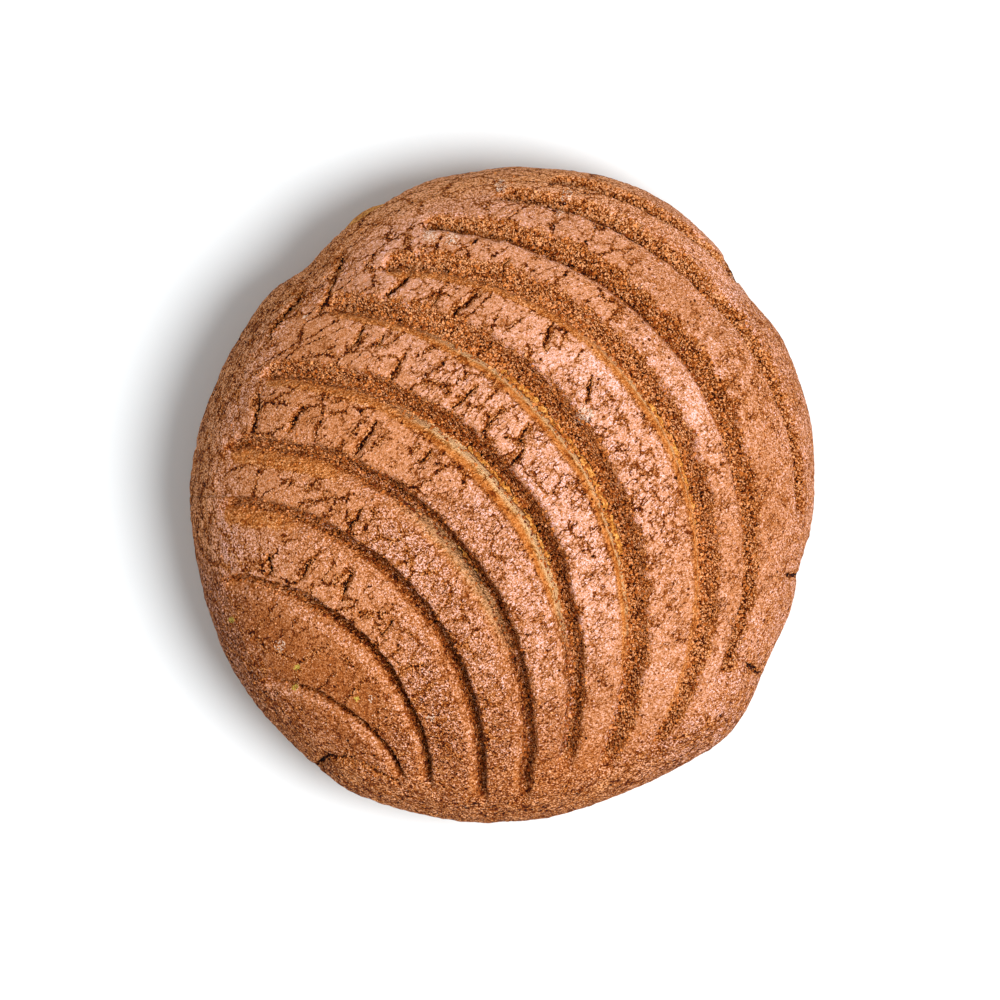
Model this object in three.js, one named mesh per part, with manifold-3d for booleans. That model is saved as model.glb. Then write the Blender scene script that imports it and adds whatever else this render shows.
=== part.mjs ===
// A chocolate concha: a round sweet-bread bun under a baked sugar-paste topping that is cut like a shell.
// Millimetres, +Z up. The origin is the middle of the flat base, and the shell opens towards +X and +Y.
import * as THREE from "three";
import { mergeVertices } from "three/addons/utils/BufferGeometryUtils.js";
import Module from "manifold-3d";

const wasm = await Module();
wasm.setup();

// Overall sizes. Angles are in degrees, counterclockwise from +X seen from above.
const RADIUS = 55.9; // mean radius of the outline
const OVAL = { at: 70, by: 1.9 }; // the outline is this much longer along one line, and shorter across it
const LUMPS = [
  { at: 313, wide: 11, by: 2.7 },
  { at: 65, wide: 13, by: 0.9 },
  { at: 40, wide: 7, by: -1.8 },
  { at: 130, wide: 7, by: -1.9 },
  { at: 174, wide: 14, by: 0.9 },
  { at: 346, wide: 5, by: -0.8 },
];
const CENTRE = [0.4, 0]; // moves the outline's box over the origin
const HEIGHT = 46;
const BELLY = 14; // height of the widest ring
const BASE_SHARE = 0.8; // radius of the flat base as a share of the widest radius

// The paste, which ends at an angle from the vertical that wavers round the bun
const CROWN_PASTE = 4.2;
const RIM_PASTE = 3.2;
const GAP = 0.45; // clearance between the paste and the dough
const EDGE = 91;
const EDGE_WAVES = [
  { count: 3, turn: 60, by: 1.3 },
  { count: 7, turn: 0, by: 0.9 },
];
const LIP = 1.02; // how far the rounded edge reaches past that angle, as a share of it
const SHORT_EDGE = { at: 117, wide: 9, by: 15 }; // where the paste ends higher up
const SWELLING = { at: 117, wide: 8, by: 3.7 }; // where the dough swells out below it

// The shell cutter's blades: arcs whose centres step up the diagonal. A groove is mouth wide at its widest,
// and between two shares of its length it may be open right through to the dough.
const BLADES = [
  { centre: [-45.8, -63.5], radius: 31.9, from: 83, to: 26, mouth: 3.4 },
  { centre: [-52.2, -53.6], radius: 39.5, from: 85, to: 4, mouth: 4 },
  { centre: [-53.2, -50.3], radius: 49.6, from: 85, to: -4, mouth: 4.4 },
  { centre: [-48, -43.2], radius: 52.3, from: 90, to: -11, mouth: 5, open: [0.48, 0.62] },
  { centre: [-41.8, -32.8], radius: 54, from: 90, to: -16, mouth: 5.8, open: [0.36, 0.68] },
  { centre: [-34.8, -23.9], radius: 57.1, from: 86, to: -25, mouth: 6.2, open: [0.26, 0.7] },
  { centre: [-19.6, -13.3], radius: 54.4, from: 92, to: -34, mouth: 6.2, open: [0.42, 0.7] },
  { centre: [-13.9, -9.7], radius: 57.3, from: 90, to: -24, mouth: 5.8 },
  { centre: [-3.9, -3.8], radius: 56.2, from: 87, to: 1, mouth: 5.2 },
  { centre: [0.8, 1.1], radius: 54.9, from: 82, to: 42, mouth: 4.4 },
];
const FLOOR_LEFT = 0.7; // paste left under a closed groove
const BREAKTHROUGH = 0.5; // how far an open groove is cut past the paste
const NARROWING = { from: 0.5, to: 0.9, by: 0.4 }; // each groove narrows over this stretch of its length
const GROOVE_ENDS = { opening: 0.15, closing: 0.1, mouth: 0.35, depth: 0.2 };

// Cracks across the ridges and tears in the rim, as straight cuts from one point to another
const CRACKS = [
  { from: [-25.4, 6.5], to: [-22.4, 13.6], mouth: 2 },
  { from: [-28.4, -18.6], to: [-26, -12.2], mouth: 1.6 },
  { from: [0.3, 4.4], to: [5, 12.6], mouth: 1.6 },
  { from: [-20.6, 34.2], to: [-15.6, 39.2], mouth: 1.4 },
  { from: [-9.2, 30.6], to: [-4.4, 35.2], mouth: 1.4 },
  { from: [7.4, 24.8], to: [8.8, 30.2], mouth: 1.4 },
  { from: [14.2, 16], to: [15.4, 21.5], mouth: 1.2 },
  { from: [-27, -6.2], to: [-24.4, -1.8], mouth: 1.2 },
  { from: [-40.8, -14.2], to: [-40.6, -10], mouth: 1.2 },
  { from: [-29, -43], to: [-31.8, -47.2], mouth: 2.4 },
  { from: [49.6, -13.6], to: [53.4, -14.6], mouth: 1.6 },
  { from: [42.4, -29.2], to: [45.6, -31.6], mouth: 1.6 },
];
const CRACK_DEPTH = 1.7;
const CRACK_ENDS = { opening: 0.3, closing: 0.3, mouth: 0.3, depth: 0.3 };

// The section of a cut: x in mouth widths, y from its floor at 0 to its mouth at 1 and on into the air.
// Its wall on the outer side of the arc is the steeper one.
const CUT_SECTION = [
  [-0.9, 2.2],
  [-0.62, 1],
  [-0.12, 0],
  [0.1, 0],
  [0.38, 1],
  [0.54, 2.2],
];

// Facets
const AROUND = 64;
const DOME_RINGS = 11;
const SIDE_RINGS = 6;
const BLADE_STEP = 7; // degrees of arc
const CRACK_STEPS = 3;
const RING_PASSES = 4; // rounds of finding the ring that a point of the plan lies on

const DOUGH_TOP = HEIGHT - CROWN_PASTE - GAP;
const { degToRad, radToDeg, euclideanModulo, lerp, smoothstep } = THREE.MathUtils;

// A lump's height at an angle: all of it in the middle, and none well away from there
function bump(angle, { at, wide, by }) {
  const off = euclideanModulo(radToDeg(angle) - at + 180, 360) - 180;
  return by * Math.exp(-((off / wide) ** 2));
}

// Radius of a level ring whose share of the widest one is given: lumps die away towards the crown
function ring(angle, share) {
  const oval = OVAL.by * Math.cos(2 * (angle - degToRad(OVAL.at)));
  const lumps = LUMPS.reduce((sum, lump) => sum + bump(angle, lump), 0);
  return share * (RADIUS + oval + lumps * share ** 2);
}

function at(angle, radius, height) {
  const x = CENTRE[0] + radius * Math.cos(angle);
  const y = CENTRE[1] + radius * Math.sin(angle);
  return new THREE.Vector3(x, y, height);
}

// A domed layer some way inside the outline, at an angle from the vertical
function layer(angle, polar, inset, top) {
  const share = Math.sin(polar);
  return at(angle, ring(angle, share) - inset * share, BELLY + (top - BELLY) * Math.cos(polar));
}

const crust = (angle, polar) => layer(angle, polar, 0, HEIGHT);
const lining = (angle, polar) => layer(angle, polar, RIM_PASTE, DOUGH_TOP + GAP);
const dough = (angle, polar) => layer(angle, polar, RIM_PASTE + GAP, DOUGH_TOP);

// Angle from the vertical at which the paste ends
function edge(angle) {
  const waves = EDGE_WAVES.map(({ count, turn, by }) => by * Math.sin(count * angle + degToRad(turn)));
  return degToRad(waves.reduce((sum, wave) => sum + wave, EDGE) - bump(angle, SHORT_EDGE));
}

// Dough below the paste, at a share of the height where the paste ends: it curves in to the flat base
function side(angle, level) {
  const height = Math.max(level, 0) * dough(angle, edge(angle)).z;
  const above = Math.max(height - BELLY, 0) / (DOUGH_TOP - BELLY);
  const below = Math.max(BELLY - height, 0) / BELLY;
  const share = Math.sqrt(1 - above ** 2) * lerp(BASE_SHARE, 1, Math.sqrt(1 - below ** 2));
  const swelling = bump(angle, SWELLING) * Math.sin(Math.PI * level) ** 2;
  return at(angle, ring(angle, share) - (RIM_PASTE + GAP) * share + swelling, height);
}

// A closed geometry as a solid that can be cut
function solid(geometry) {
  geometry.deleteAttribute("normal");
  geometry.deleteAttribute("uv");
  const merged = mergeVertices(geometry);
  const vertProperties = merged.getAttribute("position").array;
  const triVerts = new Uint32Array(merged.getIndex().array);
  return new wasm.Manifold(new wasm.Mesh({ numProp: 3, vertProperties, triVerts }));
}

// Moves each vertex of a geometry to place(x, y, z)
function moved(geometry, place) {
  const spots = geometry.getAttribute("position");
  for (let i = 0; i < spots.count; i += 1) {
    const { x, y, z } = place(spots.getX(i), spots.getY(i), spots.getZ(i));
    spots.setXYZ(i, x, y, z);
  }
  return geometry;
}

// Turns a unit profile about the axis, then moves each vertex to place(angle, share, level)
function turned(profile, place) {
  const points = profile.map(([share, level]) => new THREE.Vector2(share, level));
  const lathe = new THREE.LatheGeometry(points, AROUND).rotateX(Math.PI / 2);
  return solid(moved(lathe, (x, y, z) => place(Math.atan2(y, x), Math.hypot(x, y), z)));
}

// Even shares from 0 to 1
const shares = (count) => Array.from({ length: count + 1 }, (_, i) => i / count);

function bun() {
  const levels = shares(SIDE_RINGS).slice(1).reverse().map((turn) => 1 - Math.sin((turn * Math.PI) / 2));
  const sides = levels.map((level) => [1, level]);
  const domed = shares(DOME_RINGS).reverse().map((share) => [share, 1]);
  return turned([[0, 0], ...sides, ...domed], (angle, share, level) => {
    if (level === 1) return dough(angle, share * edge(angle));
    return side(angle, level).lerp(at(angle, 0, 0), 1 - share);
  });
}

function uncutPaste() {
  const under = shares(DOME_RINGS).map((share) => [share, 0]);
  const over = shares(DOME_RINGS).reverse().map((share) => [share, 1]);
  return turned([...under, [LIP, 0.5], ...over], (angle, share, level) => {
    const polar = share * edge(angle);
    return lining(angle, polar).lerp(crust(angle, polar), level);
  });
}

// The uncut crust over a point of the plan: where it is, which way it faces and how thick the paste is there
function crustOver({ x, y }) {
  const angle = Math.atan2(y - CENTRE[1], x - CENTRE[0]);
  const reach = Math.hypot(x - CENTRE[0], y - CENTRE[1]);
  let share = reach / RADIUS;
  for (let pass = 0; pass < RING_PASSES; pass += 1) {
    share = Math.min((share * reach) / ring(angle, share), 1);
  }
  const polar = Math.asin(share);
  const facing = at(angle, share / RADIUS, Math.cos(polar) / (HEIGHT - BELLY)).sub(at(angle, 0, 0));
  const paste = lerp(RIM_PASTE, CROWN_PASTE, Math.cos(polar) ** 2);
  return { spot: crust(angle, polar), facing: facing.normalize(), paste };
}

// A straight bar of the cut's section, bent along a line over the crust
function cutter(line, steps, mouthAt, depthAt) {
  const section = new THREE.Shape(CUT_SECTION.map(([x, y]) => new THREE.Vector2(x, y)));
  const bar = new THREE.ExtrudeGeometry(section, { depth: 1, steps, bevelEnabled: false });
  return solid(moved(bar, (across, up, along) => {
    const { spot, facing, paste } = crustOver(line.getPoint(along));
    const lead = line.getTangent(along);
    const right = new THREE.Vector3(lead.x, lead.y, 0).cross(facing).normalize();
    const lift = (up - 1) * depthAt(along, paste);
    return spot.addScaledVector(right, -across * mouthAt(along)).addScaledVector(facing, lift);
  }));
}

// How far open a cut is along its length: least at its two ends, and 1 between them
function openness(along, least, { opening, closing }) {
  const full = smoothstep(along, 0, opening) * (1 - smoothstep(along, 1 - closing, 1));
  return lerp(least, 1, full);
}

function groove({ centre, radius, from, to, mouth, open }) {
  const arc = new THREE.EllipseCurve(...centre, radius, radius, degToRad(from), degToRad(to), true);
  const mouthAt = (along) => {
    const narrowed = 1 - NARROWING.by * smoothstep(along, NARROWING.from, NARROWING.to);
    return mouth * narrowed * openness(along, GROOVE_ENDS.mouth, GROOVE_ENDS);
  };
  const depthAt = (along, paste) => {
    const isOpen = open && along > open[0] && along < open[1];
    const depth = isOpen ? paste + BREAKTHROUGH : paste - FLOOR_LEFT;
    return depth * openness(along, GROOVE_ENDS.depth, GROOVE_ENDS);
  };
  return cutter(arc, Math.round((from - to) / BLADE_STEP), mouthAt, depthAt);
}

function crack({ from, to, mouth }) {
  const line = new THREE.LineCurve(new THREE.Vector2(...from), new THREE.Vector2(...to));
  const mouthAt = (along) => mouth * openness(along, CRACK_ENDS.mouth, CRACK_ENDS);
  const depthAt = (along) => CRACK_DEPTH * openness(along, CRACK_ENDS.depth, CRACK_ENDS);
  return cutter(line, CRACK_STEPS, mouthAt, depthAt);
}

function topping() {
  const cuts = [...BLADES.map(groove), ...CRACKS.map(crack)];
  return cuts.reduce((rest, cut) => rest.subtract(cut), uncutPaste());
}

function mesh(name, made, look) {
  const { vertProperties, triVerts } = made.getMesh();
  const geometry = new THREE.BufferGeometry();
  geometry.setAttribute("position", new THREE.BufferAttribute(vertProperties, 3));
  geometry.setIndex(new THREE.BufferAttribute(triVerts, 1));
  geometry.computeVertexNormals();
  const named = new THREE.Mesh(geometry, new THREE.MeshStandardMaterial(look));
  named.name = name;
  return named;
}

const concha = new THREE.Group();
concha.add(mesh("bun", bun(), { color: 0xc48a45, roughness: 0.75, metalness: 0 }));
concha.add(mesh("topping", topping(), { color: 0xb8794f, roughness: 0.9, metalness: 0 }));

export default concha;
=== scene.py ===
"""A chocolate concha: a round sweet-bread bun under a cracked sugar-paste topping that is cut like a shell.

Forms are worked out in millimetres, with angles in degrees counterclockwise from +X seen from above, and go
into the meshes in metres.
"""

import math

import bmesh
import bpy
import numpy as np
from bpy.props import FloatProperty, FloatVectorProperty, IntProperty, PointerProperty
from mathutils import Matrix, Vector, kdtree, noise


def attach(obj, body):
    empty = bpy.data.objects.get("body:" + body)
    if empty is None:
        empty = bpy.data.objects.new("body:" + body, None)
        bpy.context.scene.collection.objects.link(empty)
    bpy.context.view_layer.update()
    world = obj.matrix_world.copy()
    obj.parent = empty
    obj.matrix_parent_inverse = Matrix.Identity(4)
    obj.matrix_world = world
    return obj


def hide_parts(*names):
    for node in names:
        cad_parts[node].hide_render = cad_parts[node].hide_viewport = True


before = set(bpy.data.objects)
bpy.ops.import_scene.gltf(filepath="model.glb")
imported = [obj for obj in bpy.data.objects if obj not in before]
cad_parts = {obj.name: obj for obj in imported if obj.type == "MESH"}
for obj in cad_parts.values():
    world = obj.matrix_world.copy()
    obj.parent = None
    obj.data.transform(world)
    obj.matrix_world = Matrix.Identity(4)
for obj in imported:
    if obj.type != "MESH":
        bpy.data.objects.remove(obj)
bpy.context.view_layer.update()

bl_info = {
    "name": "Concha",
    "version": (1, 0, 0),
    "blender": (4, 5, 0),
    "location": "View3D > Sidebar > Concha",
    "description": "Bakes a chocolate concha and sets it on a pale studio floor",
    "category": "Object",
}

MM = 0.001

# How much faster red, green and blue fade as the bake darkens, and how steeply the light falls with the tone
TOASTING = (1.0, 1.65, 3.1)
DARKENING = 2.2
TOAST_STOPS = 9

# The outline: longer along one line than across it, with a few lumps and hollows
CENTRE = (0.4, 0.0)
OVAL = {"at": 70, "by": 1.9}
LUMPS = (
    {"at": 313, "wide": 11, "by": 2.7},
    {"at": 65, "wide": 13, "by": 0.9},
    {"at": 40, "wide": 7, "by": -1.8},
    {"at": 130, "wide": 7, "by": -1.9},
    {"at": 174, "wide": 14, "by": 0.9},
    {"at": 346, "wide": 5, "by": -0.8},
    {"at": 243, "wide": 6, "by": 0.6},
)
BASE_SHARE = 0.8

# How far down from the top of a ball the bun's dome and then its sides end, as shares, and how much is left
DOME_END = 0.6
SIDE_END = 0.9
SIDE_SPAN = 0.3
BASE_SPAN = 0.1
BUN_MESH = (176, 96)
FORM_MESH = (128, 64)
FORM_PROUD = 0.06

# The paste ends at an angle from the vertical that wavers round the bun
EDGE = 91
EDGE_WAVES = ({"count": 3, "turn": 60, "by": 1.3}, {"count": 7, "turn": 0, "by": 0.9})
SHORT_EDGE = {"at": 117, "wide": 12, "by": 15}
SWELLING = {"at": 117, "wide": 11, "by": 3.7}
LIP_PROFILE = ((1.012, 0.85), (1.02, 0.5), (1.012, 0.15))
TUCKED_EDGE = (1.0, -1.6)

# The shell cutter's blades: arcs whose centres step up the diagonal, how wide the scooped outer wall and the
# rolled inner shoulder of each groove are, how much painted shade darkens its crevice and edges, how crisp
# its edges are, and the shares of its length between which it is open to the dough, with how golden that
# shows
BLADES = (
    {"centre": (-45.8, -63.5), "radius": 31.9, "turn": (83, 26), "wall": 0.9, "shoulder": 4.2, "crevice_shade": 1.4},
    {"centre": (-52.2, -53.6), "radius": 39.5, "turn": (85, 4), "wall": 1.4, "shoulder": 4.4, "crevice_shade": 1.0},
    {"centre": (-53.2, -50.3), "radius": 49.6, "turn": (85, -4), "wall": 1.6, "shoulder": 4.6, "crevice_shade": 1.0},
    {
        "centre": (-48, -43.2), "radius": 52.3, "turn": (90, -11),
        "wall": 2.1, "shoulder": 4.4, "crevice_shade": 0.9, "open": (0.44, 0.62), "gold": 0.4,
    },
    {
        "centre": (-41.8, -32.8), "radius": 54, "turn": (90, -16),
        "wall": 3.4, "shoulder": 3.0, "crevice_shade": 0.6, "open": (0.34, 0.68), "gold": 1.0,
    },
    {
        "centre": (-34.8, -23.9), "radius": 57.1, "turn": (86, -25),
        "wall": 4.6, "shoulder": 2.6, "crevice_shade": 0.3, "open": (0.26, 0.7), "gold": 1.0,
    },
    {
        "centre": (-19.0, -14.1), "radius": 54.4, "turn": (92, -34),
        "wall": 3.7, "shoulder": 2.9, "crevice_shade": 0.1, "open": (0.42, 0.7), "gold": 0.8,
    },
    {
        "centre": (-13.9, -9.7), "radius": 56.6, "turn": (90, -24),
        "wall": 4.0, "shoulder": 2.0, "crevice_shade": 0.3, "crisp": 0.6,
    },
    {
        "centre": (-3.9, -3.8), "radius": 55.9, "turn": (87, 1),
        "wall": 4.0, "shoulder": 1.3, "crevice_shade": 0.1, "crisp": 1.0,
    },
    {
        "centre": (0.8, 1.1), "radius": 54.6, "turn": (82, 42),
        "wall": 3.8, "shoulder": 1.2, "crevice_shade": 0.1, "crisp": 1.0,
    },
)
FLOOR_LEFT = 0.7
BREAKTHROUGH = 0.04
NARROWING = {"start": 0.5, "stop": 0.9, "by": 0.28}
BLUNT = 3.6

# The large cracks across the ridges and tears in the rim: two ends, and the width and depth in the middle
CRACKS = (
    ((-25.8, 6.6), (-21.9, 13.2), 1.3, 1.8),
    ((-28.4, -18.6), (-26.0, -12.2), 0.9, 1.6),
    ((0.6, 3.8), (3.6, 8.2), 0.9, 1.6),
    ((2.4, 8.6), (5.0, 12.6), 0.8, 1.3),
    ((-20.6, 34.2), (-15.6, 39.2), 0.9, 1.5),
    ((-9.6, 31.0), (-3.6, 35.4), 0.9, 1.5),
    ((-0.6, 37.4), (1.2, 41.6), 0.9, 1.5),
    ((7.4, 24.8), (8.8, 30.2), 0.8, 1.3),
    ((14.4, 15.6), (15.6, 20.8), 0.7, 1.2),
    ((-9.0, 14.9), (-3.7, 19.4), 0.7, 1.2),
    ((-4.0, 10.6), (0.7, 15.7), 0.6, 1.0),
    ((-13.4, 30.9), (-10.8, 35.8), 0.6, 1.0),
    ((-14.6, 5.3), (-12.0, 8.1), 0.8, 1.3),
    ((-27.0, -6.2), (-24.4, -1.8), 0.8, 1.2),
    ((-40.8, -14.2), (-40.6, -10.0), 0.8, 1.2),
    ((-35.1, -15.2), (-33.6, -11.0), 0.7, 1.1),
    ((-21.6, -24.8), (-18.6, -21.3), 0.7, 1.1),
    ((-16.9, -30.4), (-13.4, -29.0), 0.6, 0.9),
    ((-37.4, 10.5), (-34.6, 15.8), 0.8, 1.1),
    ((-43.2, 10.6), (-42.2, 18.4), 0.8, 1.0),
    ((-26.3, 25.5), (-23.9, 29.8), 0.7, 1.0),
    ((-19.6, 19.6), (-16.6, 25.2), 0.7, 1.1),
    ((-22.2, 25.5), (-20.2, 28.4), 0.5, 0.9),
    ((-32.1, 30.7), (-27.4, 42.9), 0.8, 1.0),
    ((-41.4, 26.9), (-33.8, 36.9), 0.7, 0.9),
    ((-30.4, -44.9), (-32.8, -48.0), 1.2, 2.0),
    ((-31.4, -45.6), (-25.0, -46.2), 0.9, 1.6),
    ((-25.6, -46.0), (-17.4, -50.6), 0.7, 1.2),
    ((49.6, -13.6), (53.4, -14.6), 1.2, 1.2),
    ((42.4, -29.2), (45.6, -31.6), 1.2, 1.2),
)

# Where the skin has broken up, as rounds on the plan: middle, radius and how much
PLATED = ((-18, 24, 27, 1.0), (-34, 6, 18, 0.8), (6, 40, 20, 0.6), (-32, -22, 17, 0.75), (-33, -36, 15, 0.7))
FISSURED = ((10, 0, 22, 1.0), (-6, 12, 16, 0.6), (30, -8, 22, 0.7), (6, -24, 20, 0.6), (34, 22, 18, 0.3))
WORN = (
    (34, 16, 26, 0.5), (47, 20, 12, 0.9), (50, 2, 10, 0.8), (14, 40, 22, 0.6), (16, -14, 26, 0.45),
    (-20, -32, 30, 0.25), (-44, 0, 24, 0.5),
)
SANDY = ((-10, -34, 20, 0.2), (14, -42, 22, 0.5), (40, -26, 16, 0.4), (-26, -28, 14, 0.3))

# Where loose sugar and yellow flecks lie, as the same kind of rounds
SUGARED = (
    (-12.5, 45.2, 1.5, 0.9), (-8.6, 44.6, 1.4, 0.8), (14.4, 14.0, 1.9, 0.9), (-0.2, 54.2, 1.3, 0.8),
    (11.3, 52.6, 1.1, 0.8), (17.0, 53.6, 1.0, 0.8), (-38.6, -26.0, 1.2, 0.7), (-22.6, -35.2, 0.9, 0.8),
    (-34.3, 31.1, 0.6, 1.0), (10.1, 49.3, 0.9, 0.9), (-12.4, -38.6, 0.9, 0.7),
)
FLECKED = (
    (-47.3, -21.7, 0.6, 1.0), (-35.5, -29.8, 0.6, 1.0), (-25.2, -35.4, 0.5, 1.0), (-36.5, -33.8, 0.45, 1.0),
)

# The arc that the shell's ribs follow and how far to each side it is used, and the sizes of the rim's band
RIB_RADIUS = 55
RIB_REACH = 54
BAND_RADIUS = 56
BAND_HEIGHT = 50

# Crumbs: spread of their sizes and tones, and the share that lies on bare skin
CRUMB_SEED = 5
CRUMB_TRIES = 6
CRUMB_SPREAD = 0.32
CRUMB_TONE = 0.74
STRAY_CRUMBS = 0.04

# Mean tones of the paste's skin and of the crumb under it, from 0 for nearly black to 1 for the palest
SKIN_TONE = 0.88
PASTE_TONE = 0.74

# Studio: half the floor's side in millimetres, the sky's strength, the key light, and the camera over the
# bun, with the width in metres that it frames at a height
FLOOR_HALF = 4000
SKY = 0.55
KEY_LIGHT = {"size": 0.7, "energy": 19, "rise": 62, "turn": -20, "away": 1.2}
CAMERA_AT = (-0.35, -0.78)
CAMERA_HEIGHT = 2.5
FRAMED_WIDTH = 0.174
FRAMED_HEIGHT = 0.016
SENSOR = 36


class ConchaSizes(bpy.types.PropertyGroup):
    """Sizes of the concha"""

    radius: FloatProperty(
        name="Radius", description="Mean radius of the outline", default=0.0559, unit="LENGTH"
    )
    height: FloatProperty(
        name="Height", description="From the base to the crown", default=0.046, unit="LENGTH"
    )
    belly: FloatProperty(name="Belly", description="Height of the widest ring", default=0.014, unit="LENGTH")
    crown_paste: FloatProperty(
        name="Paste at crown", description="Thickness of the paste on top", default=0.0042, unit="LENGTH"
    )
    rim_paste: FloatProperty(
        name="Paste at rim", description="Thickness of the paste at its edge", default=0.0032, unit="LENGTH"
    )
    gap: FloatProperty(name="Gap", description="Clearance over the dough", default=0.00045, unit="LENGTH")
    crack_depth: FloatProperty(
        name="Cracks", description="Depth of the cracks, as a share", default=1.0, subtype="FACTOR"
    )
    grain: FloatProperty(
        name="Grain", description="Height of the crumb's grains", default=0.00028, unit="LENGTH"
    )
    crumb_size: FloatProperty(
        name="Crumbs", description="Radius of the loose crumbs", default=0.0002, unit="LENGTH"
    )
    crumbs: IntProperty(
        name="Crumb count", description="Loose crumbs in the grooves and cracks", default=9500
    )
    facets: IntProperty(name="Facets", description="Faces along each side of the paste's grid", default=292)


class ConchaColours(bpy.types.PropertyGroup):
    """Colours of the concha and the floor"""

    skin: FloatVectorProperty(
        name="Skin", description="Palest grains of the sugar skin",
        default=(0.98, 0.585, 0.59), subtype="COLOR",
    )
    crumb: FloatVectorProperty(
        name="Crumb", description="Palest grains of the paste under the skin",
        default=(0.98, 0.466, 0.22), subtype="COLOR",
    )
    bread: FloatVectorProperty(
        name="Bread", description="Palest places on the crust of the dough",
        default=(0.91, 0.495, 0.16), subtype="COLOR",
    )
    streak: FloatVectorProperty(
        name="Streak", description="Palest dough along the grooves",
        default=(0.97, 0.61, 0.31), subtype="COLOR",
    )
    sugar: FloatVectorProperty(
        name="Sugar", description="Loose grains of sugar",
        default=(0.9, 0.7, 0.55), subtype="COLOR",
    )
    fleck: FloatVectorProperty(
        name="Flecks", description="Yellow flecks in the paste",
        default=(0.6, 0.42, 0.07), subtype="COLOR",
    )
    floor: FloatVectorProperty(
        name="Floor", description="Studio floor",
        default=(0.76, 0.785, 0.8), subtype="COLOR",
    )


def smooth(value, low, high):
    """0 below low, 1 above high and a smooth rise between them."""
    share = np.clip((value - low) / (high - low), 0, 1)
    return share * share * (3 - 2 * share)


def blend(first, second, share):
    return first + (second - first) * share


def bump(angle, lump):
    """A lump's height at an angle: all of it in the middle, and none well away from there."""
    off = (np.degrees(angle) - lump["at"] + 180) % 360 - 180
    return lump["by"] * np.exp(-((off / lump["wide"]) ** 2))


def noise_at(spots, size, seed):
    """Smooth noise from about -1 to 1, with features of a size."""
    shift = Vector((seed * 13.7, seed * 7.3, seed * 3.1))
    return np.array([noise.noise(Vector(spot) + shift) for spot in (spots / size).tolist()])


def rounds_at(x, y, rounds):
    """The strongest of several soft-edged rounds at each place on the plan."""
    found = np.zeros_like(x)
    for middle_x, middle_y, radius, much in rounds:
        far = np.hypot(x - middle_x, y - middle_y) / radius
        found = np.maximum(found, much * (1 - smooth(far, 0.55, 1.25)))
    return found


class Form:
    """The bun's smooth form in millimetres, from the sizes in the panel."""

    def __init__(self, sizes):
        self.radius = sizes.radius / MM
        self.height = sizes.height / MM
        self.belly = sizes.belly / MM
        self.crown_paste = sizes.crown_paste / MM
        self.rim_paste = sizes.rim_paste / MM
        self.gap = sizes.gap / MM
        self.dough_top = self.height - self.crown_paste - self.gap

    def ring(self, angle, share):
        """Radius of a level ring whose share of the widest one is given."""
        oval = OVAL["by"] * np.cos(2 * (angle - math.radians(OVAL["at"])))
        lumps = sum(bump(angle, lump) for lump in LUMPS)
        return share * (self.radius + oval + lumps * share**2)

    def at(self, angle, radius, height):
        x = CENTRE[0] + radius * np.cos(angle)
        y = CENTRE[1] + radius * np.sin(angle)
        return np.stack([x, y, np.broadcast_to(height, x.shape)], axis=-1)

    def layer(self, angle, polar, inset, top):
        """A domed layer some way inside the outline, at an angle from the vertical."""
        share = np.sin(polar)
        radius = self.ring(angle, share) - inset * share
        return self.at(angle, radius, self.belly + (top - self.belly) * np.cos(polar))

    def crust(self, angle, polar):
        return self.layer(angle, polar, 0, self.height)

    def lining(self, angle, polar):
        return self.layer(angle, polar, self.rim_paste, self.dough_top + self.gap)

    def dough(self, angle, polar, proud=0.0):
        return self.layer(angle, polar, self.rim_paste + self.gap - proud, self.dough_top + proud)

    def edge(self, angle):
        """Angle from the vertical at which the paste ends."""
        waves = sum(w["by"] * np.sin(w["count"] * angle + math.radians(w["turn"])) for w in EDGE_WAVES)
        return np.radians(EDGE + waves - bump(angle, SHORT_EDGE))

    def side(self, angle, level, proud=0.0):
        """Dough below the paste, at a share of the height where the paste ends."""
        height = np.clip(level, 0, 1) * self.dough(angle, self.edge(angle))[..., 2]
        above = np.maximum(height - self.belly, 0) / (self.dough_top - self.belly)
        below = np.maximum(self.belly - height, 0) / self.belly
        share = np.sqrt(1 - above**2) * blend(BASE_SHARE, 1, np.sqrt(1 - below**2))
        swelling = bump(angle, SWELLING) * np.sin(np.pi * np.clip(level, 0, 1)) ** 2
        radius = self.ring(angle, share) - (self.rim_paste + self.gap) * share + swelling + proud
        return self.at(angle, radius, height)

    def facing(self, angle, polar):
        """Which way the crust faces."""
        out = np.sin(polar) / self.radius
        up = np.cos(polar) / (self.height - self.belly)
        way = np.stack([out * np.cos(angle), out * np.sin(angle), up], axis=-1)
        return way / np.linalg.norm(way, axis=-1, keepdims=True)


def coords_of(made):
    return np.array([vert.co for vert in made.verts])


def move_to(verts, places):
    for vert, place in zip(verts, places.tolist()):
        vert.co = place


def piece_of(made, name, material):
    """A bmesh in millimetres as a smooth-shaded object in metres."""
    bmesh.ops.scale(made, vec=(MM, MM, MM), verts=made.verts)
    bmesh.ops.recalc_face_normals(made, faces=made.faces)
    data = bpy.data.meshes.new(name)
    made.to_mesh(data)
    made.free()
    data.shade_smooth()
    data.materials.append(material)
    piece = bpy.data.objects.new(name, data)
    bpy.context.scene.collection.objects.link(piece)
    return piece


def set_attribute(piece, name, values, kind="FLOAT"):
    """Stores a value for each vertex, which the piece's material reads by name."""
    field = piece.data.attributes.new(name, kind, "POINT")
    slot = "value" if kind == "FLOAT" else "vector"
    field.data.foreach_set(slot, np.ascontiguousarray(values, np.float32).ravel())


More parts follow.
